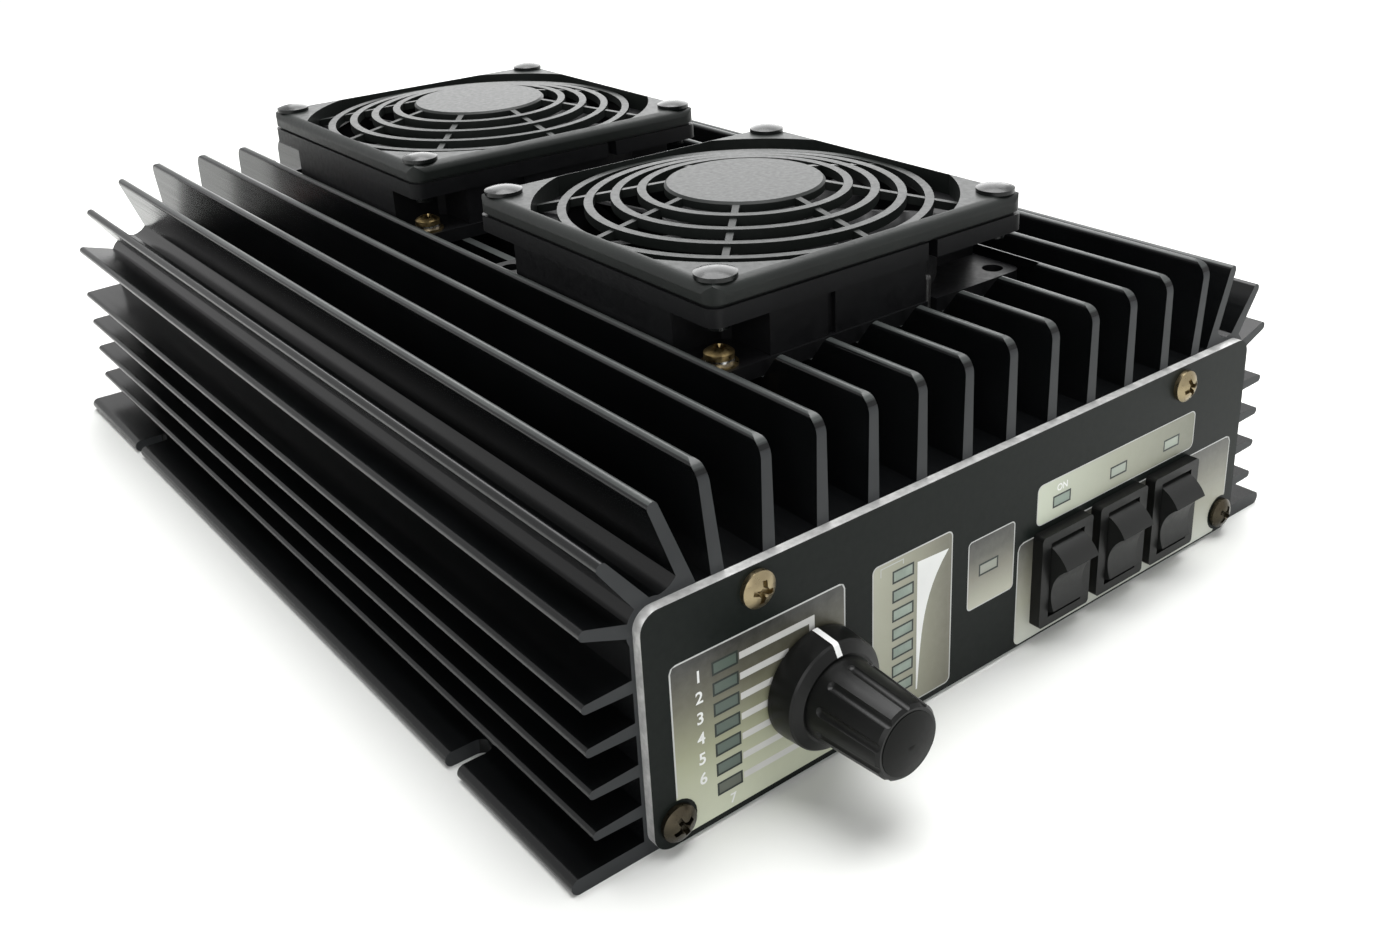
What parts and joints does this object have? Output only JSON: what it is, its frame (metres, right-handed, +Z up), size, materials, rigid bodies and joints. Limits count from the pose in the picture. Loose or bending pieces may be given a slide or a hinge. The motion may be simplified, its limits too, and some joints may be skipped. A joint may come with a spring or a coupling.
{
  "type": "hf linear amplifier",
  "caption": "Finned aluminium radio amplifier with two guarded fans on top, a band knob, rocker switches and light columns in front, and coaxial sockets and a supply lead behind.",
  "frame": {"origin": "middle of the resting face, under the middle of the object without its supply lead", "axes": "+Z up, front panel towards -Y, fins run along Y, +X to the right seen from the front"},
  "size_m": [0.186, 0.4239, 0.0822],
  "materials": {
    "black_anodised": "satin black anodised extrusion with fine draw lines",
    "panel_black": "dark grey printed plate with bright milled edges",
    "rear_plate": "satin black anodised plate",
    "cover_plate": "plain rolled sheet",
    "brass_screw": "dull yellow passivated steel and brass",
    "steel_screw": "bright zinc plated",
    "knob_black": "moulded black, slightly glossy",
    "cap_grey": "moulded dark grey",
    "shaft_metal": "turned",
    "switch_black": "moulded black",
    "rocker_black": "moulded black, fine grain",
    "light_window": "pale grey-green translucent",
    "board_green": "solder mask over glass fibre",
    "package_black": "moulded package",
    "ferrite": "dark sintered ferrite",
    "winding": "enamelled copper winding",
    "relay_blue": "moulded case",
    "capacitor_sleeve": "shrunk sleeve",
    "ribbon_grey": "flat cable",
    "fan_black": "moulded black",
    "guard_black": "moulded black, soft sheen",
    "nickel": "nickel plated",
    "insulator": "cream insulating resin",
    "rubber_black": "moulded rubber",
    "lead_red_black": "flat twin flex, one red core and one black core",
    "tie_cream": "nylon strip",
    "tinned_copper": "tinned strands"
  },
  "bodies": {
    "case": {"heat_sink": "black_anodised", "bottom_cover": "cover_plate", "cover_screws": "steel_screw", "front_panel": "panel_black", "front_panel_screws": "brass_screw", "rear_panel": "rear_plate", "rear_panel_screws": "brass_screw", "selector_switch": "ribbon_grey", "selector_nut": "nickel", "front_switch_a": "switch_black", "front_switch_b": "switch_black", "front_switch_c": "switch_black", "band_lights": "light_window", "output_lights": "light_window", "status_lights": "light_window", "front_board": "board_green", "main_board": "board_green", "board_pillars": "brass_screw", "board_screws": "steel_screw", "ribbon_cable": "ribbon_grey", "power_transistors": "package_black", "transistor_screws": "steel_screw", "transformers": "ferrite", "filter_coils": "winding", "relays": "relay_blue", "capacitors": "capacitor_sleeve", "front_fan_frame": "fan_black", "rear_fan_frame": "fan_black", "fan_stators": "winding", "front_fan_guard": "guard_black", "rear_fan_guard": "guard_black", "guard_rivets": "guard_black", "fan_screws": "brass_screw", "fan_washers": "brass_screw", "spring_washers": "steel_screw", "fan_leads": "lead_red_black", "output_socket": "nickel", "input_socket": "nickel", "socket_insulators": "insulator", "socket_contacts": "brass_screw", "socket_screws": "steel_screw", "lead_grommet": "rubber_black", "supply_tails": "lead_red_black", "supply_lead": "lead_red_black", "supply_coil": "lead_red_black", "coil_ties": "tie_cream", "lead_ends": "tinned_copper"},
    "knob": {"band_knob": "knob_black", "knob_cap": "cap_grey", "selector_shaft": "shaft_metal"},
    "rocker_left": {"rocker_a": "rocker_black"},
    "rocker_middle": {"rocker_b": "rocker_black"},
    "rocker_right": {"rocker_c": "rocker_black"},
    "front_rotor": {"front_fan_rotor": "fan_black"},
    "rear_rotor": {"rear_fan_rotor": "fan_black"}
  },
  "joints": [
    {"name": "band_select", "type": "hinge", "parent": "case", "child": "knob", "pos_m": [-0.0448, -0.13, 0.0184], "axis": [0, -1, 0], "range_deg": [0, 180]},
    {"name": "rock_left", "type": "hinge", "parent": "case", "child": "rocker_left", "pos_m": [0.0186, -0.1194, 0.0142], "axis": [-1, 0, 0], "range_deg": [0, 30]},
    {"name": "rock_middle", "type": "hinge", "parent": "case", "child": "rocker_middle", "pos_m": [0.03595, -0.1194, 0.0142], "axis": [-1, 0, 0], "range_deg": [0, 30]},
    {"name": "rock_right", "type": "hinge", "parent": "case", "child": "rocker_right", "pos_m": [0.0533, -0.1194, 0.0142], "axis": [-1, 0, 0], "range_deg": [0, 30]},
    {"name": "front_fan_spin", "type": "hinge", "parent": "case", "child": "front_rotor", "pos_m": [0, -0.0503, 0.068], "axis": [0, 0, 1], "continuous": true},
    {"name": "rear_fan_spin", "type": "hinge", "parent": "case", "child": "rear_rotor", "pos_m": [0, 0.0585, 0.068], "axis": [0, 0, 1], "continuous": true}
  ]
}
